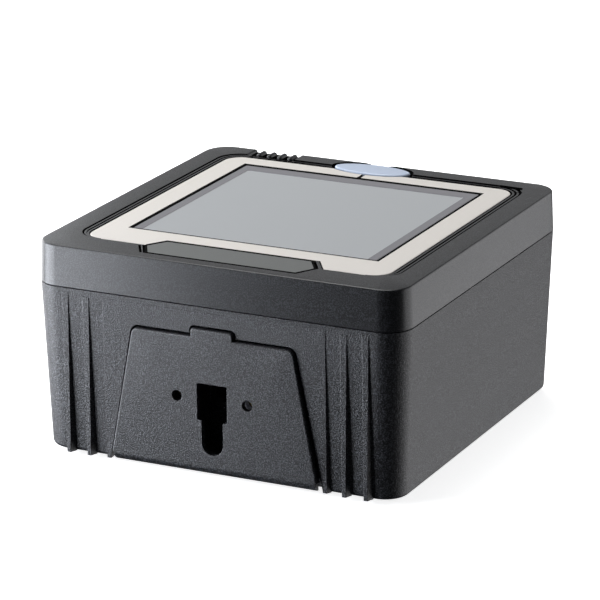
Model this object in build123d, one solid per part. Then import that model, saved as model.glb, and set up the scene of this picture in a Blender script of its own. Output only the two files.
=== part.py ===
from build123d import *
from math import cos, radians, sin
import os

# Flatbed in-counter barcode scanner: a square black case with a glass window on top, a laser,
# a spinning polygon and a ring of pattern mirrors inside, and a tilting cable cover in front.
# Millimetres. +X right, +Y back, +Z up. The origin is on the counter, under the case's centre.

# ---- Driving dimensions of the case ----
WIDTH = 152.0            # case, left to right
DEPTH = 152.0            # case, front to back
FOOT_H = 1.5             # how far the feet hold the case off the counter
PARTING_Z = 66.5         # joint between housing and top cover
TOP_Z = 82.5             # top of the raised rim
CORNER_R = 10.5          # upright corners
WALL = 2.5
HOUSING_TAPER = 2.4      # how much narrower each side is at the bottom
SKIRT_DRAFT = 0.6
PARTING_GAP = 0.4        # shadow line between housing and top cover
FLOOR_Z = FOOT_H + WALL  # top of the housing's floor
CEILING_Z = 78.2         # underside of the top cover's plate
TONGUE_H = 2.0           # housing lip that locates the top cover
TONGUE_INSETS = (1.6, 2.2)  # outer and inner face of that lip, in from the outline
SEAL_T = 0.8
SCREW_XY = 63.5          # case screws and their bosses
BOSS_MEET_Z = 40.0

# ---- Front: panel, fins and cable cover ----
PANEL_HALF_W = 45.65
PANEL_TOP_Z = 64.5
FIN_XS = (52.9, 61.6)
COVER_FACE_Y = -77.2
COVER_T = 2.2
COVER_Z = (1.7, 55.3)
COVER_HALF_W = (43.2, 33.0)
COVER_GAP = 0.85
TAB_HALF_W = 8.7
TAB_TOP_Z = 58.4
HINGE_R = 3.6            # rolled lower edge of the cable cover, round the hinge axis
HINGE_Y = COVER_FACE_Y + HINGE_R
HINGE_Z = COVER_Z[0] + HINGE_R
HINGE_PIN_R = 0.8
HINGE_EAR_X = (36.3, 40.3)
POCKET_BACK_Y = -69.6
COVER_SCREW_X = 14.55
COVER_SCREW_Z = 31.4
COVER_HOLE_R = 2.1
KEYHOLE_HALF_W = 6.2
KEYHOLE_Z = (23.2, 37.5)
SLOT_HALF_W = 4.4
SLOT_CENTRE_Z = 14.3
BAY_HALF_W = 9.5
BAY_Z = (8.5, 40.0)
JACK_FACE_Y = -62.0
JACK_Z = (24.0, 36.8)

# ---- Top face ----
RECESS_HALF_W = 65.9
RECESS_Y = (-61.3, 67.3)
RECESS_FLOOR_Z = 80.9    # bottom of the channel round the frame plate
TERRACE_Y = 63.8         # front of the step between the plate and the rear rim
TERRACE_Z = 81.9
RIDGE_T = 0.8
RIDGES = ((63.5, -61.0, 64.6, 8.6), (65.1, -61.2, 66.4, 10.0))  # half width, front, rear, corner
RIDGE_TOP_Z = 82.3
PLATE_HALF_W = 61.9
PLATE_Y = (-60.2, 63.0)
PLATE_R = 7.0
PLATE_Z = (81.5, 82.3)
PLATE_SEAT_INSET = 0.9
OPENING_HALF_W = 52.0
OPENING_Y = (-43.6, 54.7)
LIP_GAP = 0.25           # between the plate and the lip round the glass
LIP_T = 0.9
LIP_TOP_Z = 82.2
GLASS_INSET = 1.35       # glass inside the plate's opening
GLASS_Z = (79.45, 81.95)
GASKET_T = 0.4
LEDGE_INSET = 3.6        # opening under the glass, inside the plate's opening
MASK_T = 0.1
MASK_HALF_W = 46.8
MASK_Y = (-41.9, 46.9)
NAMEPLATE_POINTS = ((30.2, -53.0), (35.4, -61.3), (30.8, -69.6))
NAMEPLATE_TOP_Z = 82.35
NAMEPLATE_GAP = 0.8
SLASH_SHIFTS = (1.3, 1.9)  # the bar beside the nameplate, and the plate's edge beyond it
BUTTON_X = -1.7
BUTTON_Y = 67.7
BUTTON_HALF = (16.2, 6.5)
BUTTON_MOAT = 1.4
SOUND_GAP_X = (-56.6, -38.0)
SOUND_GAP_Z = 81.2
SOUND_FIN_XS = (-53.0, -48.4, -43.8, -39.2)
SOUND_FIN_Y = (69.6, 74.1)
SOUND_FIN_R = 1.15
SOUND_SLOT_Y = (69.0, 72.0)
SPEAKER_XY = (-46.1, 64.8)
SPEAKER_R = 6.5
KEY_BOARD_Z = (68.0, 69.6)
KEY_POST_X = 24.0

# ---- Inside ----
MAIN_BOARD_Z = (7.0, 8.6)
CHASSIS_Z = (14.0, 16.5)
AXIS_Y = 8.0             # polygon axis, at x = 0
BEAM_Z = 31.0            # height of the laser beam and the middle of the polygon
POLYGON_Z = (25.0, 37.0)
POLYGON_APOTHEM = 15.0
SHAFT_R = 1.5
MIRROR_T = 2.0
MIRROR_SLOPE = 50.0      # degrees from level
# One pattern mirror per line: compass angle about the polygon, distance out, width.
MIRRORS = ((0, 41, 34), (60, 39, 36), (120, 39, 36), (180, 41, 34), (222, 47, 27), (318, 47, 27))
MIRROR_LENGTH = 32.0
MIRROR_BASE_Z = 18.0
MOTOR_PLATE_Z = (17.5, 18.5)
MOTOR_BOARD_T = 1.2
LEAD_Z = 12.2            # height of the flat leads between board and chassis
CHASSIS_SCREWS = [(x, y) for x in (-64.0, 64.0) for y in (-36.0, 50.0)]
BOARD_SCREWS = [(x, y) for x in (-53.0, 53.0) for y in (-34.0, 50.0)]
INTERFACE_SCREWS = [(-17.0, -54.0), (17.0, -54.0)]
MOTOR_SCREWS = [(x, AXIS_Y + y) for x in (-17.0, 17.0) for y in (-14.0, 14.0)]
CORNERS = [(x * SCREW_XY, y * SCREW_XY) for x in (-1, 1) for y in (-1, 1)]
FEET = [(x, y) for x in (-52.0, 52.0) for y in (-58.0, 58.0)]
FOOT_R = 6.0


# ---- Small shapes used throughout ----
def block(x, y, z):
    """A box between two x, two y and two z values."""
    size = (x[1] - x[0], y[1] - y[0], z[1] - z[0])
    middle = ((x[0] + x[1]) / 2, (y[0] + y[1]) / 2, (z[0] + z[1]) / 2)
    return Pos(*middle) * Box(*size)


def post(xy, z, r):
    """An upright cylinder between two z values."""
    return Pos(xy[0], xy[1], (z[0] + z[1]) / 2) * Cylinder(r, z[1] - z[0])


def rod_x(x, y, z, r):
    """A cylinder along X between two x values."""
    return Pos((x[0] + x[1]) / 2, y, z) * Rot(0, 90, 0) * Cylinder(r, x[1] - x[0])


def rod_y(x, y, z, r):
    """A cylinder along Y between two y values."""
    return Pos(x, (y[0] + y[1]) / 2, z) * Rot(90, 0, 0) * Cylinder(r, y[1] - y[0])


def slab(half_w, y, z, r=0.0):
    """A level slab, symmetric in x, with rounded upright corners."""
    size = (2 * half_w, y[1] - y[0])
    outline = RectangleRounded(*size, r) if r else Rectangle(*size)
    return extrude(Pos(0, (y[0] + y[1]) / 2, z[0]) * outline, z[1] - z[0])


def case_slab(inset, z, r=CORNER_R):
    """A slab that follows the case's outline, a given distance inside it."""
    half = WIDTH / 2 - inset
    return slab(half, (-half, half), z, r - inset)


def front_slab(outline, y):
    """An outline drawn in x and z, given thickness between two y values."""
    plane = Plane(origin=(0, y[1], 0), x_dir=(1, 0, 0), z_dir=(0, -1, 0))
    return extrude(plane * outline, y[1] - y[0])


def both_sides(shape):
    """A shape and its mirror image on the other side of the case."""
    return shape + mirror(shape, about=Plane.YZ)


def screw(xy, head_z, down, head_r=2.7, shank_r=1.45, head_h=2.0, points_up=False):
    """A pan-head screw whose head bears at head_z; it points down unless points_up."""
    way = 1 if points_up else -1
    head = post(xy, sorted((head_z, head_z - way * head_h)), head_r)
    drive = post(xy, sorted((head_z - way * head_h, head_z - way * head_h * 0.5)), head_r * 0.38)
    shank = post(xy, sorted((head_z, head_z + way * down)), shank_r)
    return head - drive + shank


# ---- Housing: the lower half of the case ----
def cover_outline():
    """The cable cover's outline in x and z: a trapezoid with a finger tab on top."""
    (z0, z1), (w0, w1) = COVER_Z, COVER_HALF_W
    trapezoid = make_face(Polyline((-w0, z0), (w0, z0), (w1, z1), (-w1, z1), close=True))
    trapezoid = fillet(trapezoid.vertices().group_by(Axis.Y)[-1], 2.8)
    tab = Pos(0, (z1 + TAB_TOP_Z) / 2 - 1) * Rectangle(2 * TAB_HALF_W, TAB_TOP_Z - z1 + 2)
    tab = fillet(tab.vertices().group_by(Axis.Y)[-1], 1.2)
    return Sketch() + trapezoid + tab


def panel_or_fin(x, half_w, root_extra, y_crest, top_z):
    """A drafted rib down the front wall; half_w and y_crest are given at the bottom and top."""
    wall_y = (-DEPTH / 2 + HOUSING_TAPER + 0.6, -DEPTH / 2 + 0.6)
    sections = []
    for k, z in enumerate((FOOT_H, top_z)):
        crest, root = half_w[k], half_w[k] + root_extra[k]
        left = ((x - root, wall_y[k]), (x - crest, y_crest[k]))
        points = left + ((x + crest, y_crest[k]), (x + root, wall_y[k]))
        sections.append(Pos(0, 0, z) * make_face(Polyline(*points, close=True)))
    return loft(sections)


def front_relief():
    """The raised central panel and the two fins on each side of it."""
    relief = panel_or_fin(0, (PANEL_HALF_W, PANEL_HALF_W), (1.0, 0.3), (-75.1, -76.0), PANEL_TOP_Z)
    for x, top_z in zip(FIN_XS, (64.0, 64.9)):
        for side in (-1, 1):
            relief += panel_or_fin(side * x, (0.75, 1.3), (1.1, 0.4), (-76.0, -76.05), top_z)
    return relief


def cable_pocket(body):
    """The pocket that the cable cover closes, its hinge ears, and the bay for the plug."""
    outline = cover_outline()
    pocket = offset(outline, COVER_GAP)
    lining = offset(outline, COVER_GAP + 2.0) & (Pos(0, 40) * Rectangle(WIDTH, 2 * (40 - FOOT_H - 0.2)))
    body += front_slab(lining, (-74.2, POCKET_BACK_Y + 2.0))
    body -= front_slab(pocket, (-85.0, POCKET_BACK_Y))
    wall_x = (-BAY_HALF_W - 2, BAY_HALF_W + 2)
    bay_wall = block(wall_x, (POCKET_BACK_Y, JACK_FACE_Y + 2), (BAY_Z[0] - 2, BAY_Z[1] + 2))
    body += bay_wall
    body -= block((-BAY_HALF_W, BAY_HALF_W), (POCKET_BACK_Y - 1, JACK_FACE_Y), BAY_Z)
    body -= block((-8.2, 8.2), (JACK_FACE_Y - 1, JACK_FACE_Y + 3), (JACK_Z[0] - 0.2, JACK_Z[1] + 0.2))
    body -= block((-4.6, 4.6), (POCKET_BACK_Y - 1, POCKET_BACK_Y + 3), (54.4, 57.4))
    for side in (-1, 1):
        body += rod_y(side * COVER_SCREW_X, (POCKET_BACK_Y, -61.0), COVER_SCREW_Z, 4.0)
        body += rod_y(side * COVER_SCREW_X, (-71.6, POCKET_BACK_Y), COVER_SCREW_Z, 4.0)
        body -= rod_y(side * COVER_SCREW_X, (-71.6, -62.0), COVER_SCREW_Z, 2.4)
        ear_x = sorted((side * HINGE_EAR_X[0], side * HINGE_EAR_X[1]))
        body += block(ear_x, (HINGE_Y, POCKET_BACK_Y + 0.5), (HINGE_Z + 0.2, HINGE_Z + 5.0))
        body += rod_x(ear_x, HINGE_Y, HINGE_Z, HINGE_PIN_R + 0.9)
        body -= rod_x(ear_x, HINGE_Y, HINGE_Z, HINGE_PIN_R + 0.05)
    return body


def housing():
    half_drop = WIDTH - 2 * HOUSING_TAPER
    foot_r = CORNER_R - 1.0
    outer = loft([
        Pos(0, 0, FOOT_H) * RectangleRounded(half_drop, half_drop, foot_r),
        Pos(0, 0, PARTING_Z) * RectangleRounded(WIDTH, DEPTH, CORNER_R),
    ])
    outer = fillet(outer.edges().group_by(Axis.Z)[0], 1.8)
    body = outer + front_relief()
    inner_low = half_drop - 2 * WALL
    inner_top = WIDTH - 2 * WALL
    body -= loft([
        Pos(0, 0, FLOOR_Z) * RectangleRounded(inner_low, inner_low, foot_r - WALL),
        Pos(0, 0, PARTING_Z) * RectangleRounded(inner_top, inner_top, CORNER_R - WALL),
    ])
    tongue_z = (PARTING_Z - 1.0, PARTING_Z + TONGUE_H)
    body += case_slab(TONGUE_INSETS[0], tongue_z) - case_slab(TONGUE_INSETS[1], tongue_z)
    body = cable_pocket(body)
    for xy in CORNERS:
        body += post(xy, (FOOT_H + 0.3, BOSS_MEET_Z), 5.0)
        body -= post(xy, (FOOT_H - 1, BOSS_MEET_Z - 6.0), 3.3)
        body -= post(xy, (FOOT_H, BOSS_MEET_Z + 1), 1.7)
    for xy in FEET:
        body -= post(xy, (FOOT_H - 1, FOOT_H + 0.8), FOOT_R + 0.1)
    for xy in CHASSIS_SCREWS:
        body += post(xy, (FLOOR_Z - 0.5, CHASSIS_Z[0]), 3.6)
        body -= post(xy, (FLOOR_Z, CHASSIS_Z[0] + 1), 1.5)
    for xy in BOARD_SCREWS:
        body += post(xy, (FLOOR_Z - 0.5, MAIN_BOARD_Z[0]), 3.2)
        body -= post(xy, (FOOT_H + 0.9, MAIN_BOARD_Z[0] + 1), 1.2)
    for xy in INTERFACE_SCREWS:
        body += post(xy, (FLOOR_Z - 0.5, JACK_Z[0] - 1.6), 3.2)
        body -= post(xy, (12.0, JACK_Z[0]), 1.2)
    return body


def feet():
    """Four stuck-on rubber pads, each in a shallow round recess."""
    pads = Part()
    for xy in FEET:
        pad = post(xy, (0, FOOT_H + 0.8), FOOT_R)
        pads += fillet(pad.edges().group_by(Axis.Z)[0], 0.5)
    return pads


def case_screws():
    screws = Part()
    for xy in CORNERS:
        screws += screw(xy, BOSS_MEET_Z - 6.0, 18.0, points_up=True, shank_r=1.5)
    return screws


def perimeter_seal():
    z = (PARTING_Z + TONGUE_H, PARTING_Z + TONGUE_H + SEAL_T)
    return case_slab(TONGUE_INSETS[0], z) - case_slab(TONGUE_INSETS[1], z)


# ---- Cable cover: tilts out about its rolled lower edge ----
def cable_cover():
    face_y = (COVER_FACE_Y, COVER_FACE_Y + COVER_T)
    plate = front_slab(cover_outline(), face_y)
    front_edges = plate.faces().sort_by(Axis.Y)[0].edges()
    plate = fillet(front_edges.filter_by(lambda e: e.center().Z > HINGE_Z), 0.7)
    below = block((-60, 60), (-90, -60), (0, HINGE_Z))
    rolled = rod_x((-COVER_HALF_W[0], COVER_HALF_W[0]), HINGE_Y, HINGE_Z, HINGE_R)
    rolled -= rod_x((-50, 50), HINGE_Y, HINGE_Z, HINGE_R - COVER_T)
    rolled &= block((-41.6, 41.6), (-90, HINGE_Y), (0, HINGE_Z))
    body = plate - below + rolled
    body += block((-4, 4), (face_y[1] - 0.5, -68.6), (55.1, 56.4))
    for side in (-1, 1):
        barrel = rod_x(sorted((side * 28.0, side * 36.0)), HINGE_Y, HINGE_Z, 3.0)
        relief_x = sorted((side * (HINGE_EAR_X[0] - 0.3), side * (HINGE_EAR_X[1] + 0.3)))
        body += barrel
        body -= rod_x(relief_x, HINGE_Y, HINGE_Z, HINGE_PIN_R + 1.25)
        body += rod_x(sorted((side * 35.0, side * 39.9)), HINGE_Y, HINGE_Z, HINGE_PIN_R)
        body -= rod_y(side * COVER_SCREW_X, (-90, -60), COVER_SCREW_Z, COVER_HOLE_R)
    return body - front_slab(keyhole_outline(), (-90, -60))


def keyhole_outline():
    """The plug's rectangle with the lead's round-bottomed slot below it, in x and z."""
    (z0, z1) = KEYHOLE_Z
    wide = Pos(0, (z0 + z1) / 2) * Rectangle(2 * KEYHOLE_HALF_W, z1 - z0)
    slot = Pos(0, (SLOT_CENTRE_Z + z0 + 2) / 2) * Rectangle(2 * SLOT_HALF_W, z0 + 2 - SLOT_CENTRE_Z)
    round_end = Pos(0, SLOT_CENTRE_Z) * Circle(SLOT_HALF_W)
    outline = Sketch() + wide + slot + round_end
    steps = [v for v in outline.vertices() if abs(v.Y - z0) < 0.1 or abs(v.Y - z1) < 0.1]
    return fillet(steps, 0.6)


def cover_inserts():
    """Knurled brass inserts in the housing bosses behind the cover's two holes."""
    inserts = Part()
    for side in (-1, 1):
        x = side * COVER_SCREW_X
        insert = rod_y(x, (-71.4, -65.4), COVER_SCREW_Z, 2.3)
        groove = rod_y(x, (-68.9, -67.9), COVER_SCREW_Z, 2.6)
        insert -= groove - rod_y(x, (-68.9, -67.9), COVER_SCREW_Z, 1.9)
        inserts += insert - rod_y(x, (-72, -65), COVER_SCREW_Z, 1.25)
    return inserts


# ---- Top cover ----
def side_ridges():
    """Two thin ridges on each side of the recess, following the plate round its corners."""
    ridges = Part()
    z = (RECESS_FLOOR_Z - 0.5, RIDGE_TOP_Z)
    for half_w, front, rear, r in RIDGES:
        ring = slab(half_w, (front, rear), z, r)
        ridges += ring - slab(half_w - RIDGE_T, (front + RIDGE_T, rear - RIDGE_T), z, r - RIDGE_T)
    return ridges - block((-54.5, 54.5), (-80, 80), z)


def sound_slots(body):
    """The gap in the rear rim, four rounded fins across it and the holes to the speaker."""
    x0, x1 = SOUND_GAP_X
    end_r = TOP_Z - SOUND_GAP_Z
    gap = make_face(Polyline((x0 - end_r, SOUND_GAP_Z), (x1, SOUND_GAP_Z), (x1 + 2.1, TOP_Z + 0.1),
                             (x1 + 2.1, TOP_Z + 2), (x0 - end_r, TOP_Z + 2), close=True))
    gap -= Pos(x0 - end_r, SOUND_GAP_Z) * Circle(end_r)
    body -= front_slab(gap, (RECESS_Y[1] - 0.4, 80.0))
    for left, right in zip(SOUND_FIN_XS, SOUND_FIN_XS[1:]):
        middle = (left + right) / 2
        body -= block((middle - 0.6, middle + 0.6), SOUND_SLOT_Y, (CEILING_Z - 2, TOP_Z))
    axis_z = TOP_Z - SOUND_FIN_R
    for x in SOUND_FIN_XS:
        body += rod_y(x, SOUND_FIN_Y, axis_z, SOUND_FIN_R)
        for y in SOUND_FIN_Y:
            body += Pos(x, y, axis_z) * Sphere(SOUND_FIN_R)
    return body


def nameplate_outline():
    right = [(x, y) for x, y in NAMEPLATE_POINTS]
    left = [(-x, y) for x, y in reversed(NAMEPLATE_POINTS)]
    return make_face(Polyline(*right, *left, close=True))


def nameplate_seat(shift):
    """The nameplate's outline with the gap round it, moved to the right by a distance."""
    return Pos(shift, 0) * offset(nameplate_outline(), NAMEPLATE_GAP)


def button_moat(grow):
    return Pos(BUTTON_X, BUTTON_Y) * Ellipse(BUTTON_HALF[0] + grow, BUTTON_HALF[1] + grow)


def opening_slab(inset, z, r):
    """A slab that follows the plate's window opening, a given distance inside it."""
    return slab(OPENING_HALF_W - inset, (OPENING_Y[0] + inset, OPENING_Y[1] - inset), z, r)


def slash_bar():
    """The raised bar beside the nameplate's upper right edge."""
    bar = nameplate_seat(SLASH_SHIFTS[0]) - nameplate_seat(0)
    bar &= Pos(40, -56.9) * Rectangle(40, 8.8)
    return extrude(Pos(0, 0, RECESS_FLOOR_Z - 0.5) * bar, PLATE_Z[1] - RECESS_FLOOR_Z + 0.5)


def top_face(body):
    """Everything sunk into the top of the cover: recess, terrace, nameplate seat and slots."""
    above = (RECESS_FLOOR_Z, TOP_Z + 1)
    body -= slab(RECESS_HALF_W, RECESS_Y, above, 9.8)
    terrace = block((-54.5, 54.5), (TERRACE_Y, RECESS_Y[1] + 0.3), (RECESS_FLOOR_Z - 0.5, TERRACE_Z))
    trough_r = 5.0
    body += terrace - rod_x((-60, 60), 65.6, TERRACE_Z - 0.3 + trough_r, trough_r)
    body += side_ridges()
    inset = PLATE_SEAT_INSET
    seat_y = (PLATE_Y[0] + inset, PLATE_Y[1] - inset)
    body += slab(PLATE_HALF_W - inset, seat_y, (RECESS_FLOOR_Z - 0.5, PLATE_Z[0]), PLATE_R - inset)
    body -= extrude(Pos(0, 0, RECESS_FLOOR_Z) * nameplate_seat(0), 5)
    body += slash_bar()
    body -= extrude(Pos(0, 0, CEILING_Z + 1.4) * button_moat(BUTTON_MOAT), 5)
    body -= extrude(Pos(0, 0, CEILING_Z - 2) * button_moat(-2.9), 5)
    body -= Pos(-34.6, -66.3, TOP_Z) * Rot(0, 0, 31) * Box(1.0, 9.2, 2.4)
    notch = make_face(Polyline((53.5, 67.6), (63.2, 67.0), (64.0, 64.4), (53.5, 65.4), close=True))
    body -= extrude(Pos(0, 0, RECESS_FLOOR_Z + 0.2) * notch, 5)
    return body - block((62.3, 65.3), (61.0, 61.7), (TOP_Z - 0.8, TOP_Z + 1))


def window_seat(body):
    """The lip round the glass, and the deep frame under it that carries gasket and glass."""
    body += slab(57.5, (-49.5, 58.2), (75.0, RECESS_FLOOR_Z), 3.0)
    body += opening_slab(LIP_GAP, (RECESS_FLOOR_Z - 0.5, LIP_TOP_Z), 0.6)
    body -= opening_slab(LIP_GAP + LIP_T, (GLASS_Z[0] - GASKET_T, TOP_Z), 0.4)
    return body - opening_slab(LEDGE_INSET, (70, TOP_Z), 2.0)


def top_cover():
    skirt_z = PARTING_Z + PARTING_GAP
    top_side = WIDTH - 2 * SKIRT_DRAFT
    outer = loft([
        Pos(0, 0, skirt_z) * RectangleRounded(WIDTH, DEPTH, CORNER_R),
        Pos(0, 0, TOP_Z) * RectangleRounded(top_side, top_side, CORNER_R - SKIRT_DRAFT),
    ])
    outer = fillet(outer.edges().group_by(Axis.Z)[-1], 0.7)
    body = outer - case_slab(WALL + SKIRT_DRAFT, (skirt_z - 1, CEILING_Z))
    body -= case_slab(1.4, (skirt_z - 1, PARTING_Z + TONGUE_H + SEAL_T))
    body = window_seat(top_face(body))
    speaker_z = (72.2, CEILING_Z + 0.2)
    body += post(SPEAKER_XY, speaker_z, SPEAKER_R + 1.8)
    body -= post(SPEAKER_XY, (70, CEILING_Z), SPEAKER_R + 0.2)
    body = sound_slots(body)
    for xy in CORNERS:
        body += post(xy, (BOSS_MEET_Z + 0.3, CEILING_Z + 0.5), 4.2)
        body -= post(xy, (BOSS_MEET_Z, BOSS_MEET_Z + 18.0), 1.55)
    for x in (-KEY_POST_X, KEY_POST_X):
        body += post((x, 66.0), (KEY_BOARD_Z[1], CEILING_Z + 0.5), 2.6)
        body -= post((x, 66.0), (KEY_BOARD_Z[1] - 1, KEY_BOARD_Z[1] + 5), 1.05)
    return body


def frame_plate():
    """The satin metal plate round the window, notched for the nameplate and the button."""
    plate = slab(PLATE_HALF_W, PLATE_Y, PLATE_Z, PLATE_R)
    plate = chamfer(plate.edges().group_by(Axis.Z)[-1], 0.2)
    plate -= slab(OPENING_HALF_W, OPENING_Y, (70, 90))
    for shift in (0, SLASH_SHIFTS[1]):
        plate -= extrude(Pos(0, 0, 70) * nameplate_seat(shift), 20)
    plate -= extrude(Pos(0, 0, 70) * button_moat(BUTTON_MOAT + 0.5), 20)
    return plate - block((BUTTON_X - 0.8, BUTTON_X + 0.8), (OPENING_Y[1] - 1, 64), (70, 90))


def nameplate():
    """A blank plate with bevelled edges."""
    z = (RECESS_FLOOR_Z, NAMEPLATE_TOP_Z)
    plate = extrude(Pos(0, 0, z[0]) * nameplate_outline(), z[1] - z[0])
    return chamfer(plate.edges().group_by(Axis.Z)[-1], 0.2)


def scan_window():
    pane = opening_slab(GLASS_INSET, GLASS_Z, 0.4)
    return chamfer(pane.edges().group_by(Axis.Z)[-1], 0.2)


def window_mask():
    """The dark border bonded to the top of the glass."""
    ring = opening_slab(GLASS_INSET + 0.2, (GLASS_Z[1], GLASS_Z[1] + MASK_T), 0.3)
    return ring - slab(MASK_HALF_W, MASK_Y, (70, 90), 0.5)


def window_gasket():
    ring = opening_slab(GLASS_INSET, (GLASS_Z[0] - GASKET_T, GLASS_Z[0]), 0.4)
    return ring - opening_slab(LEDGE_INSET - 0.4, (70, 90), 2.0)


# ---- Button, its board and springs, and the speaker ----
def touch_button():
    """The domed oval lens that is pressed, with its stem, snap flange and switch pin."""
    base_z = RECESS_FLOOR_Z
    cap = extrude(Pos(0, 0, base_z) * button_moat(0), 1.6)
    cap = fillet(cap.edges().group_by(Axis.Z)[-1], 0.8)
    stem = extrude(Pos(0, 0, CEILING_Z - 1.4) * button_moat(-3.3), base_z - CEILING_Z + 1.4)
    flange = extrude(Pos(0, 0, CEILING_Z - 1.5) * button_moat(-2.2), 1.2)
    pin = post((BUTTON_X, BUTTON_Y), (72.6, CEILING_Z - 1.4), 1.5)
    return cap + stem + flange + pin


def button_springs():
    """Two small coil springs that return the button."""
    springs = Part()
    wire_r, coil_r = 0.25, 1.8
    low, high = KEY_BOARD_Z[1] + wire_r, CEILING_Z - 1.5 - wire_r
    for side in (-1, 1):
        path = Helix(pitch=(high - low) / 4, height=high - low, radius=coil_r)
        section = Plane(origin=path @ 0, z_dir=path % 0) * Circle(wire_r)
        coil = sweep(section, path=path, is_frenet=True)
        springs += Pos(BUTTON_X + side * 8.0, BUTTON_Y, low) * coil
    return springs


def key_board():
    board = block((-28, 28), (60.5, 72.4), KEY_BOARD_Z)
    for x in (-KEY_POST_X, KEY_POST_X):
        board -= post((x, 66.0), (60, 80), 1.3)
    return board


def key_switch():
    x, y = BUTTON_X, BUTTON_Y
    z = KEY_BOARD_Z[1]
    body = block((x - 3, x + 3), (y - 3, y + 3), (z, z + 1.4))
    return body + post((x, y), (z + 1.4, z + 1.8), 1.7)


def status_leds():
    z = KEY_BOARD_Z[1]
    leds = Part()
    for x in (BUTTON_X - 4.6, BUTTON_X + 4.6):
        led = block((x - 1.0, x + 1.0), (62.4, 64.2), (z, z + 0.8))
        leds += led + block((x - 0.7, x + 0.7), (62.7, 63.9), (z + 0.8, z + 1.2))
    return leds


def key_screws():
    screws = Part()
    for x in (-KEY_POST_X, KEY_POST_X):
        screws += screw((x, 66.0), KEY_BOARD_Z[0], 6.0, head_r=1.9, shank_r=1.0, head_h=1.2, points_up=True)
    return screws


def speaker():
    """A small round speaker: basket, magnet and cone opening towards the sound slots."""
    x, y = SPEAKER_XY
    basket = post((x, y), (73.0, CEILING_Z - 0.7), SPEAKER_R)
    basket -= Pos(x, y, CEILING_Z - 2.2) * Cone(2.5, SPEAKER_R - 1.0, 3.02)
    basket += Pos(x, y, CEILING_Z - 3.6) * Sphere(2.2) & post((x, y), (73.0, CEILING_Z - 0.9), 4.0)
    return basket + post((x, y), (70.2, 73.0), 4.5)


# ---- Optical chassis and pattern mirrors ----
def mirror_place(angle, out):
    """Where a mirror lies: its local x runs along its width, local y up its slope."""
    a = radians(angle)
    foot = (out * cos(a), AXIS_Y + out * sin(a), MIRROR_BASE_Z)
    return Location(foot) * Rot(0, 0, angle - 90) * Rot(MIRROR_SLOPE, 0, 0)


def pattern_mirror(angle, out, width):
    pane = Pos(0, MIRROR_LENGTH / 2, -MIRROR_T / 2) * Box(width, MIRROR_LENGTH, MIRROR_T)
    pane = chamfer(pane.faces().sort_by(Axis.Z)[-1].edges(), 0.2)
    return mirror_place(angle, out) * pane


def mirror_rack(angle, out, width):
    """Two sloping brackets and a foot that carry one mirror."""
    rack = Part()
    back = -MIRROR_T - 0.05
    for side in (-1, 1):
        x = side * (width / 2 - 4.0)
        arm = Pos(x, MIRROR_LENGTH / 2, back - 1.25) * Box(3.0, MIRROR_LENGTH - 3, 2.5)
        rack += arm
    rack += Pos(0, 5.0, back - 1.25) * Box(width - 4, 4.0, 2.5)
    rack = mirror_place(angle, out) * rack
    a = radians(angle)
    for side in (-1, 1):
        across = side * (width / 2 - 4.0)
        for along, drop in ((9.0, 8.0), (22.0, 22.0)):
            run = out + along * cos(radians(MIRROR_SLOPE)) + 3.6
            x = run * cos(a) - across * sin(a)
            y = AXIS_Y + run * sin(a) + across * cos(a)
            height = MIRROR_BASE_Z + along * sin(radians(MIRROR_SLOPE)) - 3.4
            rack += post((x, y), (CHASSIS_Z[1] - 0.5, height), 1.4)
    return rack


def optical_chassis():
    body = slab(68.0, (-42.0, 66.0), CHASSIS_Z, 3.0)
    for xy in CORNERS:
        body -= post(xy, (0, 60), 6.5)
    for angle, out, width in MIRRORS:
        body += mirror_rack(angle, out, width)
    for xy in CHASSIS_SCREWS:
        body -= post(xy, (0, 30), 1.7)
    for xy in MOTOR_SCREWS:
        body += post(xy, (CHASSIS_Z[1] - 0.5, CHASSIS_Z[1] + 1.0), 3.0)
        body -= post(xy, (0, 30), 1.1)
    body -= post((0, AXIS_Y), (0, 30), 6.0)
    for x, y in ((-6.5, -37.0), (6.5, -37.0), (28.5, -27.0)):
        body -= post((x, y), (0, 30), 0.95)
    return body


def mirror_clips():
    """A spring-steel clip over the top edge of each pattern mirror."""
    clips = Part()
    for angle, out, _ in MIRRORS:
        end = MIRROR_LENGTH
        lap = Pos(0, end - 2.2, 0.25) * Box(6.0, 5.0, 0.4)
        lap += Pos(0, end + 0.25, -2.35) * Box(6.0, 0.4, 5.6)
        clips += mirror_place(angle, out) * (Pos(0, 0, 0.05) * lap)
    return clips


def chassis_screws():
    screws = Part()
    for xy in CHASSIS_SCREWS:
        screws += screw(xy, CHASSIS_Z[1], 8.0, head_r=2.6, shank_r=1.4)
    return screws


# ---- Scan motor and polygon ----
def motor_plate():
    """The steel plate that carries the motor, screwed to four chassis bosses."""
    plate = slab(21.0, (AXIS_Y - 18.0, AXIS_Y + 18.0), MOTOR_PLATE_Z, 4.0)
    for xy in MOTOR_SCREWS:
        plate -= post(xy, (0, 40), 1.3)
    return plate - post((0, AXIS_Y), (0, 40), 4.0)


def motor_board():
    z = (MOTOR_PLATE_Z[1], MOTOR_PLATE_Z[1] + MOTOR_BOARD_T)
    board = slab(20.0, (AXIS_Y - 11.0, AXIS_Y + 11.0), z, 2.0)
    board += block((15.0, 19.5), (AXIS_Y - 4.0, AXIS_Y + 4.0), (z[1], z[1] + 2.2))
    return board - post((0, AXIS_Y), (0, 40), 4.0)


def bearing_sleeve():
    """The bronze sleeve in the motor plate that the shaft runs in."""
    sleeve = post((0, AXIS_Y), (15.0, 23.5), 4.0) + post((0, AXIS_Y), (15.0, MOTOR_PLATE_Z[0]), 5.5)
    return sleeve - post((0, AXIS_Y), (16.0, 40), SHAFT_R + 0.05)


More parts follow.
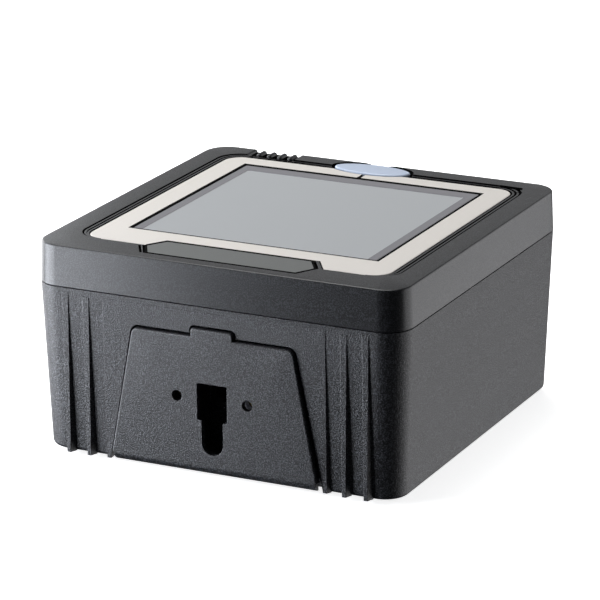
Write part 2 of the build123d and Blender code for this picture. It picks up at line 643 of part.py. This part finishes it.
def stator():
    """Nine wound teeth round the bearing sleeve."""
    z = (MOTOR_PLATE_Z[1] + MOTOR_BOARD_T, 23.6)
    core = post((0, AXIS_Y), z, 5.6)
    tooth = block((5.0, 11.0), (-0.9, 0.9), z) + block((10.0, 11.4), (-2.6, 2.6), z)
    for k in range(9):
        core += Pos(0, AXIS_Y, 0) * Rot(0, 0, 40 * k) * tooth
    return core - post((0, AXIS_Y), (0, 40), 4.0)


def motor_shaft():
    shaft = post((0, AXIS_Y), (16.1, POLYGON_Z[1] + 2.0), SHAFT_R)
    return chamfer(shaft.edges().group_by(Axis.Z)[-1], 0.3)


def rotor_cup():
    """The motor's outer rotor: a steel cup with its magnet ring, pressed on the shaft."""
    cup = post((0, AXIS_Y), (20.2, POLYGON_Z[0]), 14.0) - post((0, AXIS_Y), (0, 24.0), 12.0)
    cup += post((0, AXIS_Y), (POLYGON_Z[0], POLYGON_Z[1]), 5.0)
    return cup - post((0, AXIS_Y), (0, 60), SHAFT_R)


def polygon_mirror():
    """Six mirror facets, each leaning a little differently so that every line lands elsewhere."""
    z0, z1 = POLYGON_Z
    wheel = post((0, AXIS_Y), POLYGON_Z, 19.0)
    for k, lean in enumerate((-2.5, 1.5, -0.5, 2.5, -1.5, 0.5)):
        facet = Pos(POLYGON_APOTHEM + 10, 0, 0) * Box(20, 40, 40)
        facet = Rot(0, lean, 0) * facet
        wheel -= Pos(0, AXIS_Y, (z0 + z1) / 2) * Rot(0, 0, 60 * k) * facet
    return wheel - post((0, AXIS_Y), (0, 60), 5.0)


def polygon_clip():
    """The spring washer that holds the polygon down on the rotor."""
    clip = post((0, AXIS_Y), (POLYGON_Z[1], POLYGON_Z[1] + 0.6), 8.0)
    for k in range(3):
        clip -= Pos(0, AXIS_Y, 0) * Rot(0, 0, 120 * k) * block((3.5, 9.0), (-0.8, 0.8), (30, 40))
    return clip - post((0, AXIS_Y), (0, 60), SHAFT_R)


def motor_screws():
    screws = Part()
    for xy in MOTOR_SCREWS:
        screws += screw(xy, MOTOR_PLATE_Z[1], 4.0, head_r=1.9, shank_r=1.0, head_h=1.3)
    return screws


# ---- Laser, collector and detector ----
def laser_holder():
    """The cast block that clamps the laser; it stands on the chassis."""
    body = block((-9.0, 9.0), (-41.0, -33.0), (CHASSIS_Z[1], BEAM_Z + 7.5))
    body -= rod_y(0, (-45, -30), BEAM_Z, 5.05)
    body -= block((-0.6, 0.6), (-45, -30), (BEAM_Z + 4, BEAM_Z + 10))
    for x in (-6.5, 6.5):
        body -= post((x, -37.0), (10, CHASSIS_Z[1] + 6), 0.95)
    return body


def laser_module():
    body = rod_y(0, (-44.5, -29.0), BEAM_Z, 5.0) - rod_y(0, (-32.0, -28.0), BEAM_Z, 3.2)
    body += rod_y(0, (-32.5, -30.5), BEAM_Z, 3.2) - rod_y(0, (-33, -30), BEAM_Z, 1.0)
    return body


def collector_mirror():
    """A tall plate at 45 degrees that turns the returned light to the detector; the beam
    leaves through the hole in its middle."""
    pane = Box(2.0, 21.0, 20.0) - Rot(0, 90, 0) * Cylinder(1.8, 8)
    pane += Pos(0, 0, -11.2) * Box(4.0, 12.0, 2.4)
    lift = BEAM_Z - 10.0 - 2.4 - CHASSIS_Z[1]
    pane += Pos(0, 0, -12.4 - lift / 2) * Box(3.0, 6.0, lift)
    return Pos(0, -19.5, BEAM_Z) * Rot(0, 0, 45) * pane


def detector_board():
    board = block((27.0, 28.2), (-28.0, -12.0), (CHASSIS_Z[1], 41.0))
    return board + block((28.2, 31.0), (-24.0, -18.0), (CHASSIS_Z[1] + 2, CHASSIS_Z[1] + 7))


def photodetector():
    y, z = -19.5, BEAM_Z
    body = block((25.2, 27.0), (y - 3, y + 3), (z - 3, z + 3))
    return body + rod_x((24.9, 25.2), y, z, 2.2)


def condenser_lens():
    """The lens that gathers the returned light on the detector, in its own small stand."""
    y, z = -19.5, BEAM_Z
    glass = rod_x((17.0, 20.4), y, z, 8.0)
    glass = fillet(glass.edges().group_by(Axis.X)[0], 2.4)
    stand = block((18.6, 20.0), (y - 3, y + 3), (CHASSIS_Z[1], z - 7.0))
    return glass + stand


def laser_screws():
    screws = Part()
    for x in (-6.5, 6.5):
        screws += screw((x, -37.0), CHASSIS_Z[0], 8.0, head_r=1.8, shank_r=0.9, head_h=1.2, points_up=True)
    return screws


# ---- Boards, jack and leads ----
def main_board():
    board = slab(58.0, (-40.0, 56.0), MAIN_BOARD_Z, 2.0)
    for xy in BOARD_SCREWS:
        board -= post(xy, (0, 20), 1.4)
    return board


def board_chips():
    """Decoder, memory, motor driver and signal chips."""
    z = MAIN_BOARD_Z[1]
    chips = block((-12, 12), (2, 26), (z, z + 1.6)) - post((-10, 24), (z + 1.4, z + 2), 0.8)
    small_chips = ((-34, 14, 12, 18), (-34, -14, 8, 5), (32, 20, 14, 14), (30, -8, 9, 6), (0, -16, 6, 5))
    for x, y, w, d in small_chips:
        chips += block((x - w / 2, x + w / 2), (y - d / 2, y + d / 2), (z, z + 1.3))
    return chips


def board_capacitors():
    z = MAIN_BOARD_Z[1]
    cans = Part()
    for x, y, r in ((46, -22, 3.1), (46, -12, 3.1), (46, -2, 2.5), (-48, 34, 2.5), (-48, -26, 2.5)):
        can = post((x, y), (z, z + 4.6), r)
        cans += chamfer(can.edges().group_by(Axis.Z)[-1], 0.3)
    return cans


def header(x, y, z, half_w):
    """A small open-topped plug header."""
    body = block((x - half_w, x + half_w), (y - 2.2, y + 2.2), (z, z + 3.0))
    return body - block((x - half_w + 0.8, x + half_w - 0.8), (y - 1.4, y + 1.4), (z + 1.0, z + 5))


def board_headers():
    z = MAIN_BOARD_Z[1]
    places = ((0, -31.0, 9.0), (0, 52.0, 6.0), (-30, 52.0, 4.0), (-54, 8.0, 3.0))
    headers = Part()
    for x, y, half_w in places:
        headers += header(x, y, z, half_w)
    return headers


def board_screws():
    screws = Part()
    for xy in BOARD_SCREWS:
        screws += screw(xy, MAIN_BOARD_Z[1], 4.4, head_r=2.3, shank_r=1.1, head_h=1.5)
    for xy in INTERFACE_SCREWS:
        screws += screw(xy, JACK_Z[0], 8.0, head_r=2.3, shank_r=1.1, head_h=1.5)
    return screws


def interface_board():
    board = block((-22, 22), (-59.4, -42.6), (JACK_Z[0] - 1.6, JACK_Z[0]))
    for xy in INTERFACE_SCREWS:
        board -= post(xy, (0, 40), 1.4)
    return board


def interface_jack():
    """The modular jack that the host lead plugs into, facing the bay."""
    z0, z1 = JACK_Z
    body = block((-8.0, 8.0), (JACK_FACE_Y, -46.0), (z0, z1))
    body -= block((-6.0, 6.0), (JACK_FACE_Y - 1, -50.5), (z0 + 3.4, z0 + 10.2))
    body -= block((-3.2, 3.2), (JACK_FACE_Y - 1, -50.5), (z0 + 1.6, z0 + 4))
    for k in range(8):
        x = -3.57 + 1.02 * k
        body += block((x - 0.2, x + 0.2), (-58.0, -50.2), (z1 - 3.4, z1 - 2.4))
    return body


def ribbon(points, x, thick=0.5):
    """A flat lead of constant width that follows points in y and z."""
    path = FilletPolyline(*points, radius=1.5)
    face = make_face(offset(path, thick / 2, side=Side.BOTH))
    plane = Plane(origin=(x[0], 0, 0), x_dir=(0, 1, 0), z_dir=(1, 0, 0))
    return extrude(plane * face, x[1] - x[0])


def interface_ribbon():
    z = MAIN_BOARD_Z[1]
    return ribbon(((-31.0, z + 1.4), (-31.0, LEAD_Z), (-44.6, LEAD_Z), (-44.6, 22.1)), (-7.5, 7.5))


def key_ribbon():
    z = MAIN_BOARD_Z[1]
    return ribbon(((52.0, z + 1.4), (52.0, LEAD_Z), (70.0, LEAD_Z), (70.0, 67.6)), (-4.0, 4.0))


def speaker_lead():
    """The twin lead from the speaker's terminals to the key board."""
    lead = Part()
    y = SPEAKER_XY[1]
    for shift in (-0.8, 0.8):
        points = ((-45.7, y + shift, 70.1), (-45.7, y + shift, 67.0),
                  (-19.0, y + shift, 64.0), (-19.0, y + shift, 67.95))
        path = FilletPolyline(*points, radius=1.6)
        lead += sweep(Plane(origin=path @ 0, z_dir=path % 0) * Circle(0.5), path=path)
    return lead


NODES = {
    "housing": housing, "top_cover": top_cover, "cable_cover": cable_cover, "cover_inserts": cover_inserts,
    "feet": feet, "case_screws": case_screws, "perimeter_seal": perimeter_seal,
    "frame_plate": frame_plate, "nameplate": nameplate, "scan_window": scan_window,
    "window_mask": window_mask, "window_gasket": window_gasket,
    "touch_button": touch_button, "button_springs": button_springs, "key_board": key_board,
    "key_switch": key_switch, "status_leds": status_leds, "key_screws": key_screws,
    "speaker": speaker, "speaker_lead": speaker_lead,
    "optical_chassis": optical_chassis, "chassis_screws": chassis_screws, "mirror_clips": mirror_clips,
    "motor_plate": motor_plate, "motor_board": motor_board, "motor_screws": motor_screws,
    "bearing_sleeve": bearing_sleeve, "stator": stator,
    "motor_shaft": motor_shaft, "rotor_cup": rotor_cup, "polygon_mirror": polygon_mirror,
    "polygon_clip": polygon_clip,
    "laser_holder": laser_holder, "laser_module": laser_module, "laser_screws": laser_screws,
    "collector_mirror": collector_mirror, "condenser_lens": condenser_lens,
    "detector_board": detector_board, "photodetector": photodetector,
    "main_board": main_board, "board_chips": board_chips, "board_capacitors": board_capacitors,
    "board_headers": board_headers, "board_screws": board_screws,
    "interface_board": interface_board, "interface_jack": interface_jack,
    "interface_ribbon": interface_ribbon, "key_ribbon": key_ribbon,
}

os.makedirs("parts", exist_ok=True)
for name, make in NODES.items():
    export_step(make(), f"parts/{name}.step")
for number, (angle, out, width) in enumerate(MIRRORS, 1):
    export_step(pattern_mirror(angle, out, width), f"parts/pattern_mirror_{number}.step")
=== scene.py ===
from math import pi, radians

import bpy
from mathutils import Matrix, Vector


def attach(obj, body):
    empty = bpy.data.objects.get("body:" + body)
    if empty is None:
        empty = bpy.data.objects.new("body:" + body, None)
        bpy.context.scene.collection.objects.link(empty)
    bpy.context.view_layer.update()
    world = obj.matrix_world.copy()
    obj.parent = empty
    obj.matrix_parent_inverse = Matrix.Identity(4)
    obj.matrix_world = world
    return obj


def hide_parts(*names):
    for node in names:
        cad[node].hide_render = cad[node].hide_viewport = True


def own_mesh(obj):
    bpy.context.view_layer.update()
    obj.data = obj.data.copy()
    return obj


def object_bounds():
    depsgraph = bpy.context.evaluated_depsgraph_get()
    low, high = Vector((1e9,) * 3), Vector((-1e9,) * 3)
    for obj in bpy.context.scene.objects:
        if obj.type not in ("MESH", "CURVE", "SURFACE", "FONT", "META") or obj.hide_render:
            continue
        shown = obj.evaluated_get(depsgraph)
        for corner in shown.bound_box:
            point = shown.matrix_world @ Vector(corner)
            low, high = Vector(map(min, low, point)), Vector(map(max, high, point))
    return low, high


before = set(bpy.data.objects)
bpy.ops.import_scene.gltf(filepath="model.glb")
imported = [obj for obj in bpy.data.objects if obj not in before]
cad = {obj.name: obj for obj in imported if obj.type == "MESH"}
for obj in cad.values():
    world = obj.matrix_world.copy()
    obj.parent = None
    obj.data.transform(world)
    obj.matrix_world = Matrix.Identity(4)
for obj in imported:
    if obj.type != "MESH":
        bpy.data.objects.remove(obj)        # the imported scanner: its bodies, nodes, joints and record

cad_low, cad_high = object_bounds()


# ---------------------------------------------------------------------------------------------
# Studio: a pale seamless floor and six large soft boxes. A low one on the left lights the front, a
# wide one on the right is mirrored by that side, and one overhead lights the metal and the glass.
# Nothing here is part of the object.
# ---------------------------------------------------------------------------------------------
MM = 0.001
object_centre = (cad_low + cad_high) / 2

bpy.context.scene.view_settings.view_transform = "Standard"
world = bpy.data.worlds.new("studio_air")
bpy.context.scene.world = world
world.use_nodes = True
studio_air = world.node_tree.nodes["Background"]
studio_air.inputs["Color"].default_value = (0.85, 0.92, 1.0, 1)
studio_air.inputs["Strength"].default_value = 0.05

# The floor is seen but neither mirrored by the object nor lights it from below.
bpy.ops.mesh.primitive_plane_add(size=12, location=(0, 0, 0))
floor = bpy.context.object
floor.name = "studio_floor"
floor_paint = bpy.data.materials.new("floor_paint")
floor_paint.use_nodes = True
floor_shader = floor_paint.node_tree.nodes["Principled BSDF"]
floor_shader.inputs["Base Color"].default_value = (0.9, 0.9, 0.9, 1)
floor_shader.inputs["Roughness"].default_value = 0.9
floor_shader.inputs["Emission Color"].default_value = (1, 1, 1, 1)
floor_shader.inputs["Emission Strength"].default_value = 0.8
floor.data.materials.append(floor_paint)
floor.visible_diffuse = False
floor.visible_glossy = False
floor.visible_shadow = False


def soft_light(name, place, aim, size, radiance, tint=(1, 1, 1)):
    """A rectangular soft box at a place, turned to face a point, as bright as its radiance."""
    width, height = size
    data = bpy.data.lights.new(name, "AREA")
    data.shape = "RECTANGLE"
    data.size, data.size_y = width, height
    data.energy = radiance * pi * width * height
    data.color = tint
    lamp = bpy.data.objects.new(name, data)
    bpy.context.scene.collection.objects.link(lamp)
    lamp.location = place
    lamp.visible_camera = False
    lamp.rotation_euler = (Vector(aim) - Vector(place)).to_track_quat("-Z", "Y").to_euler()


COOL = (0.93, 0.97, 1.0)
left_corner = (-0.09, -0.03, 0.04)
rear_rim = (-0.10, 0.02, 0.08)
soft_light("back_wall", (-0.6, 1.9, 0.62), object_centre, (3.4, 1.2), 0.38)
soft_light("rear_left_box", (-0.62, 0.40, 0.26), rear_rim, (0.50, 0.34), 1.5, COOL)
soft_light("right_wall", (1.05, 0.85, -0.15), object_centre, (1.8, 1.9), 1.55, (0.98, 0.98, 1.0))
soft_light("left_box", (-0.455, -0.30, 0.065), left_corner, (0.48, 0.50), 11.5, (0.90, 0.935, 1.0))
soft_light("left_wall", (-0.9, 0.35, 0.1), object_centre, (0.7, 0.9), 3.5, (0.97, 0.98, 1.0))
soft_light("top_box", (-0.5, 0.3, 1.5), object_centre, (1.1, 1.1), 5.3)

# The camera looks down 17.8 degrees from the front right, through a long lens.
camera_data = bpy.data.cameras.new("camera")
camera_data.lens = 214.98
camera_data.sensor_width = 36
camera_data.clip_start = 0.05
camera = bpy.data.objects.new("camera", camera_data)
bpy.context.scene.collection.objects.link(camera)
camera.location = (0.5731, -1.1800, 0.46975)
turn, tip, roll = radians(25.954), radians(90 - 17.831), radians(-0.395)
camera_turn = Matrix.Rotation(turn, 3, "Z") @ Matrix.Rotation(tip, 3, "X") @ Matrix.Rotation(roll, 3, "Z")
camera.rotation_euler = camera_turn.to_euler()
bpy.context.scene.camera = camera


# ---------------------------------------------------------------------------------------------
# Housing: the lower shell, moulded in black ABS with a spark-eroded texture that hides
# scratches. The panel and fins on its front are part of the same moulding.
# ---------------------------------------------------------------------------------------------
def new_finish(name, colour, roughness, metallic=0.0):
    """A material with its shader and the coordinates of the moulding itself."""
    finish = bpy.data.materials.new(name)
    finish.use_nodes = True
    tree = finish.node_tree
    shader = tree.nodes["Principled BSDF"]
    shader.inputs["Base Color"].default_value = (*colour, 1)
    shader.inputs["Roughness"].default_value = roughness
    shader.inputs["Metallic"].default_value = metallic
    place = tree.nodes.new("ShaderNodeTexCoord")
    return finish, tree, shader, place.outputs["Object"]


def noise(tree, where, size_mm):
    """Irregular blotches of about the given size."""
    texture = tree.nodes.new("ShaderNodeTexNoise")
    texture.inputs["Scale"].default_value = 1 / (size_mm * MM)
    texture.inputs["Detail"].default_value = 2.0
    tree.links.new(where, texture.inputs["Vector"])
    return texture.outputs["Fac"]


def spread(tree, value, low, high, start=0.3, end=0.7):
    """A noise value from start to end, stretched to run from low to high."""
    ranged = tree.nodes.new("ShaderNodeMapRange")
    ranged.inputs["From Min"].default_value = start
    ranged.inputs["From Max"].default_value = end
    ranged.inputs["To Min"].default_value = low
    ranged.inputs["To Max"].default_value = high
    tree.links.new(value, ranged.inputs["Value"])
    return ranged.outputs["Result"]


def tint_between(tree, value, dark, light):
    """A colour that wanders between two shades as the value does."""
    blend = tree.nodes.new("ShaderNodeMix")
    blend.data_type = "RGBA"
    blend.inputs["A"].default_value = (*dark, 1)
    blend.inputs["B"].default_value = (*light, 1)
    tree.links.new(value, blend.inputs["Factor"])
    return blend.outputs["Result"]


def emboss(tree, shader, height, depth_mm, edge_mm=0.0):
    """Raises and sinks the surface by about the given depth, and softens its sharp edges."""
    bump = tree.nodes.new("ShaderNodeBump")
    bump.inputs["Distance"].default_value = depth_mm * MM
    tree.links.new(height, bump.inputs["Height"])
    if edge_mm:
        edge = tree.nodes.new("ShaderNodeBevel")
        edge.samples = 4
        edge.inputs["Radius"].default_value = edge_mm * MM
        tree.links.new(edge.outputs["Normal"], bump.inputs["Normal"])
    tree.links.new(bump.outputs["Normal"], shader.inputs["Normal"])


def grained_finish(name, dark, light, roughness, grain_mm, depth_mm,
                   uneven_gloss=0.0, specular=0.5, edge_mm=0.0):
    """A finely pitted surface with paler specks, even in gloss unless it is given some spread."""
    finish, tree, shader, where = new_finish(name, dark, roughness)
    shader.inputs["Specular IOR Level"].default_value = specular
    grain = noise(tree, where, grain_mm)
    specks = spread(tree, grain, 0, 1, start=0.47, end=0.68)
    tree.links.new(tint_between(tree, specks, dark, light), shader.inputs["Base Color"])
    if uneven_gloss:
        gloss = spread(tree, grain, roughness + uneven_gloss, roughness - uneven_gloss)
        tree.links.new(gloss, shader.inputs["Roughness"])
    emboss(tree, shader, grain, depth_mm, edge_mm)
    return finish


def smoothed_copy(node, name, finish, soft_angle=32):
    """A clean copy of a CAD piece: its corners are joined and its rounded edges shaded smooth."""
    shell = bpy.data.objects.new(name, cad[node].data.copy())
    bpy.context.scene.collection.objects.link(shell)
    bpy.ops.object.select_all(action="DESELECT")
    bpy.context.view_layer.objects.active = shell
    shell.select_set(True)
    bpy.ops.object.mode_set(mode="EDIT")
    bpy.ops.mesh.select_all(action="SELECT")
    bpy.ops.mesh.remove_doubles(threshold=0.002 * MM)
    bpy.ops.object.mode_set(mode="OBJECT")
    bpy.ops.mesh.customdata_custom_splitnormals_clear()
    bpy.ops.object.shade_smooth_by_angle(angle=radians(soft_angle))
    shell.data.materials.clear()
    shell.data.materials.append(finish)
    return shell


housing_abs = grained_finish(
    "housing_abs", dark=(0.001, 0.001, 0.0012), light=(0.08, 0.082, 0.092), roughness=0.39,
    grain_mm=0.46, depth_mm=0.18, uneven_gloss=0.06, specular=0.46, edge_mm=0.3)
housing = smoothed_copy("housing", "housing_shell", housing_abs)
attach(housing, "scanner_case")
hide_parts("housing")


# ---------------------------------------------------------------------------------------------
# Top cover: the upper shell in the same ABS with a finer texture. It drops over the housing's
# lip and is pulled down by four long screws from below.
# ---------------------------------------------------------------------------------------------
cover_abs = grained_finish(
    "cover_abs", dark=(0.001, 0.001, 0.0012), light=(0.045, 0.046, 0.052), roughness=0.31,
    grain_mm=0.42, depth_mm=0.04, uneven_gloss=0.04, specular=0.49, edge_mm=0.15)
cover = smoothed_copy("top_cover", "top_cover_shell", cover_abs)

# Inside the recess and the button's seat, the walls, the gap bottoms, the window lip and the sound gap's
# floor get a near-black, matt painted shade, since no light reaches the bottom of the narrow gaps.
painted_recess_shade = grained_finish(
    "painted_recess_shade", dark=(0.001, 0.001, 0.001), light=(0.003, 0.003, 0.003), roughness=0.8,
    grain_mm=0.5, depth_mm=0.02, specular=0.02)
cover.data.materials.append(painted_recess_shade)

# Sizes in millimetres: x from and to, then y from and to.
RECESS = (-66.6, 66.6, -72.0, 67.6)
BUTTON_SEAT = (-19.6, 16.2, 60.0, 75.6)
SOUND_GAP = (-57.0, -37.6, 66.0, 74.9)
WINDOW_LIP = (-52.5, 52.5, -44.1, 55.2)
CEILING_Z, GAP_FLOOR_Z, SOUND_FLOOR_Z, RIM_Z = 77.0, 81.7, 81.4, 82.4


def within(point, area):
    left, right, front, rear = area
    return left < point.x < right and front < point.y < rear


def upright(face):
    return abs(face.normal.z) < 0.5


# The faces picked here take the painted shade in the second material slot.
for face in cover.data.polygons:
    place = face.center / MM
    sunk = upright(face) or place.z < GAP_FLOOR_Z or within(place, WINDOW_LIP)
    recessed = within(place, RECESS) or within(place, BUTTON_SEAT)
    if CEILING_Z < place.z < RIM_Z and recessed and sunk:
        face.material_index = 1
    if CEILING_Z < place.z < SOUND_FLOOR_Z and within(place, SOUND_GAP):
        face.material_index = 1
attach(cover, "scanner_case")
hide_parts("top_cover")


# ---------------------------------------------------------------------------------------------
# Cable cover: a separate ABS moulding that tilts out about its rolled lower edge. Its texture
# is the housing's, and its two holes are for the screws that would hold it shut.
# ---------------------------------------------------------------------------------------------
door = smoothed_copy("cable_cover", "cable_cover_door", housing_abs)
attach(door, "cable_door")
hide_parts("cable_cover")


# ---------------------------------------------------------------------------------------------
# Frame plate: 0.8 mm sheet, fine-blasted and lacquered a warm champagne, bonded into the recess.
# Its cut edges stand in narrow gaps and are given a near-black painted shade.
# ---------------------------------------------------------------------------------------------
def satin_metal(name, colour, roughness, metallic, grain_mm=0.25, depth_mm=0.01):
    """Metal with a fine blasted, plated or polished grain."""
    finish, tree, shader, where = new_finish(name, colour, roughness, metallic)
    grain = noise(tree, where, grain_mm)
    darker = tuple(0.93 * c for c in colour)
    shade = tint_between(tree, spread(tree, grain, 0, 1), darker, colour)
    tree.links.new(shade, shader.inputs["Base Color"])
    tree.links.new(spread(tree, grain, roughness - 0.05, roughness + 0.05), shader.inputs["Roughness"])
    emboss(tree, shader, grain, depth_mm)
    return finish


champagne = satin_metal("champagne_lacquer", (0.76, 0.72, 0.67), roughness=0.42, metallic=0.25)
plate = smoothed_copy("frame_plate", "frame_plate_sheet", champagne, soft_angle=20)
plate.data.materials.append(satin_metal("plate_edge_painted_shade", (0.03, 0.022, 0.016), roughness=0.6, metallic=0.0))
# Upright faces take the painted shade.
for face in plate.data.polygons:
    face.material_index = int(upright(face))
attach(plate, "scanner_case")
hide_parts("frame_plate")


# ---------------------------------------------------------------------------------------------
# Nameplate: a dark grey anodised plate in a six-sided seat. It is blank, and its edges and a border 0.8
# mm wide round its face carry the near-black painted shade of the groove round it.
# ---------------------------------------------------------------------------------------------
badge_grey = satin_metal("badge_grey", (0.13, 0.135, 0.13), roughness=0.45, metallic=0.3)
badge = smoothed_copy("nameplate", "nameplate_blank", badge_grey, soft_angle=20)
badge.data.materials.append(painted_recess_shade)
BORDER_MM = 0.8
badge_top = max(vertex.co.z for vertex in badge.data.vertices)
bpy.ops.object.mode_set(mode="EDIT")
bpy.ops.mesh.select_mode(type="FACE")
bpy.ops.mesh.select_all(action="DESELECT")
bpy.ops.object.mode_set(mode="OBJECT")
for face in badge.data.polygons:
    face.select = face.normal.z > 0.9 and face.center.z > badge_top - 0.01 * MM
bpy.ops.object.mode_set(mode="EDIT")
bpy.ops.mesh.dissolve_limited(angle_limit=radians(1))
bpy.ops.mesh.inset(thickness=BORDER_MM * MM, depth=0)
bpy.ops.object.mode_set(mode="OBJECT")
# The border and the edges take the painted shade.
for face in badge.data.polygons:
    face.material_index = int(not face.select)
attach(badge, "scanner_case")
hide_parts("nameplate")


# ---------------------------------------------------------------------------------------------
# Scan window: coated glass laid into the cover from above, on a foam gasket. A thin dark border
# is bonded to its top all round.
# ---------------------------------------------------------------------------------------------
def coated_glass():
    """Glass under a bright coating, faintly smeared."""
    finish, tree, shader, where = new_finish("coated_glass", (0.385, 0.40, 0.41), 0.14)
    shader.inputs["IOR"].default_value = 2.3
    smears = noise(tree, where, 30.0)
    tree.links.new(spread(tree, smears, 0.13, 0.17), shader.inputs["Roughness"])
    return finish


def gloss_plastic(name, colour, roughness, ior=1.5):
    """A smooth surface whose gloss drifts a little from place to place."""
    finish, tree, shader, where = new_finish(name, colour, roughness)
    shader.inputs["IOR"].default_value = ior
    drift = noise(tree, where, 3.0)
    tree.links.new(spread(tree, drift, roughness, roughness + 0.05), shader.inputs["Roughness"])
    return finish


def paint(finish, *names):
    """Gives carried-over CAD pieces their finish."""
    for name in names:
        cad[name].data.materials.clear()
        cad[name].data.materials.append(finish)


paint(coated_glass(), "scan_window")
paint(gloss_plastic("mask_print", (0.16, 0.155, 0.17), 0.14, ior=1.9), "window_mask")


# ---------------------------------------------------------------------------------------------
# Button: the oval pale blue lens at the back, a glossy domed moulding. Its flange snaps into the
# cover, and its pin presses the switch under it.
# ---------------------------------------------------------------------------------------------
lens_blue = gloss_plastic("lens_blue", (0.47, 0.54, 0.67), 0.2)
lens = smoothed_copy("touch_button", "touch_button_lens", lens_blue, soft_angle=60)
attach(lens, "button")
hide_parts("touch_button")


# ---------------------------------------------------------------------------------------------
# Return springs: two small coils of spring steel between the button and its board.
# ---------------------------------------------------------------------------------------------
spring_steel = satin_metal("spring_steel", (0.6, 0.6, 0.61), roughness=0.25, metallic=1.0)
springs = smoothed_copy("button_springs", "button_return_springs", spring_steel, soft_angle=60)
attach(springs, "scanner_case")
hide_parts("button_springs")
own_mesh(springs)


# ---------------------------------------------------------------------------------------------
# Clips: the same spring steel, folded over the top edge of each fixed mirror, and a slotted disc
# pushed on the shaft to hold the polygon down.
# ---------------------------------------------------------------------------------------------
paint(spring_steel, "mirror_clips", "polygon_clip")


# ---------------------------------------------------------------------------------------------
# Rubber and foam: four feet stuck into shallow recesses in the base, the flat seal between the
# two shells, and the gasket under the glass. All are black and matt.
# ---------------------------------------------------------------------------------------------
soft_rubber = grained_finish("soft_rubber", (0.012, 0.012, 0.012), (0.02, 0.02, 0.02), 0.75, 0.6, 0.02)
paint(soft_rubber, "feet", "perimeter_seal", "window_gasket")


# ---------------------------------------------------------------------------------------------
# Screws: zinc-plated steel with pan heads. Most go into plastic bosses, and the laser's two come
# up through the chassis into its cast holder.
# ---------------------------------------------------------------------------------------------
zinc_plate = satin_metal("zinc_plate", (0.55, 0.56, 0.58), roughness=0.3, metallic=1.0)
paint(zinc_plate, "case_screws", "chassis_screws", "board_screws", "key_screws",
      "motor_screws", "laser_screws")


# ---------------------------------------------------------------------------------------------
# Brass: the two grooved inserts set in the housing behind the cable cover's holes, and the
# turned barrel of the laser module.
# ---------------------------------------------------------------------------------------------
insert_brass = satin_metal("insert_brass", (0.75, 0.56, 0.24), roughness=0.3, metallic=1.0)
paint(insert_brass, "cover_inserts", "laser_module")


# ---------------------------------------------------------------------------------------------
# Motor: a plated steel plate, shaft and rotor cup, a sintered bronze sleeve pressed into the
# plate, and a stator wound with enamelled copper wire.
# ---------------------------------------------------------------------------------------------
oil_bronze = satin_metal("oil_bronze", (0.5, 0.33, 0.15), roughness=0.4, metallic=1.0)
paint(oil_bronze, "bearing_sleeve")
plated_steel = satin_metal("plated_steel", (0.55, 0.55, 0.57), roughness=0.3, metallic=1.0)
paint(plated_steel, "motor_plate", "motor_shaft", "rotor_cup")
winding_copper = grained_finish("winding_copper", (0.35, 0.13, 0.04), (0.55, 0.24, 0.08), 0.4, 0.4, 0.05)
paint(winding_copper, "stator")


# ---------------------------------------------------------------------------------------------
# Cast and drawn metal: the cast block that clamps the laser on the chassis, and the aluminium
# cans of the capacitors on the main board.
# ---------------------------------------------------------------------------------------------
cast_alloy = satin_metal("cast_alloy", (0.6, 0.6, 0.62), roughness=0.5, metallic=1.0)
paint(cast_alloy, "laser_holder")
can_aluminium = satin_metal("can_aluminium", (0.75, 0.75, 0.77), roughness=0.3, metallic=1.0)
paint(can_aluminium, "board_capacitors")


# ---------------------------------------------------------------------------------------------
# Matt black mouldings inside: the optical chassis, dark so that stray light dies in it, the
# speaker and the jack.
# ---------------------------------------------------------------------------------------------
chassis_black = grained_finish("chassis_black", (0.01, 0.01, 0.011), (0.02, 0.02, 0.021), 0.6, 0.4, 0.03)
paint(chassis_black, "optical_chassis", "speaker", "interface_jack")


# ---------------------------------------------------------------------------------------------
# Boards: glass-fibre laminate under green solder mask. Three are screwed down, the motor's lies on
# its plate and the detector's stands on the chassis. Black epoxy parts, cream nylon headers and
# clear indicator lamps are soldered to them.
# ---------------------------------------------------------------------------------------------
solder_mask = grained_finish("solder_mask", (0.01, 0.09, 0.04), (0.015, 0.12, 0.055), 0.35, 1.5, 0.01)
paint(solder_mask, "main_board", "interface_board", "key_board", "motor_board", "detector_board")
chip_epoxy = grained_finish("chip_epoxy", (0.012, 0.012, 0.013), (0.02, 0.02, 0.021), 0.5, 0.3, 0.01)
paint(chip_epoxy, "board_chips", "photodetector", "key_switch")
header_nylon = grained_finish("header_nylon", (0.75, 0.73, 0.66), (0.8, 0.78, 0.71), 0.45, 0.8, 0.01)
paint(header_nylon, "board_headers")
paint(gloss_plastic("led_epoxy", (0.85, 0.88, 0.92), 0.1), "status_leds")


# ---------------------------------------------------------------------------------------------
# Ribbons and lead: grey flat cables from the main board to the jack's board and the button's,
# and the speaker's red twin lead. All are short and fixed inside the case.
# ---------------------------------------------------------------------------------------------
ribbon_grey = grained_finish("ribbon_grey", (0.4, 0.4, 0.42), (0.5, 0.5, 0.52), 0.5, 1.0, 0.02)
paint(ribbon_grey, "interface_ribbon", "key_ribbon")
lead_red = grained_finish("lead_red", (0.4, 0.02, 0.02), (0.5, 0.03, 0.03), 0.4, 0.5, 0.01)
paint(lead_red, "speaker_lead")


# ---------------------------------------------------------------------------------------------
# Optics: front-silvered glass for the polygon, the collector and the six pattern mirrors, and
# a clear condenser lens in front of the photodetector.
# ---------------------------------------------------------------------------------------------
front_silver = satin_metal("front_silver", (0.92, 0.92, 0.93), 0.06, 1.0, grain_mm=4.0, depth_mm=0.0)
pattern_mirrors = [f"pattern_mirror_{n}" for n in range(1, 7)]
paint(front_silver, "collector_mirror", "polygon_mirror", *pattern_mirrors)
paint(gloss_plastic("condenser_glass", (0.8, 0.83, 0.86), 0.03), "condenser_lens")
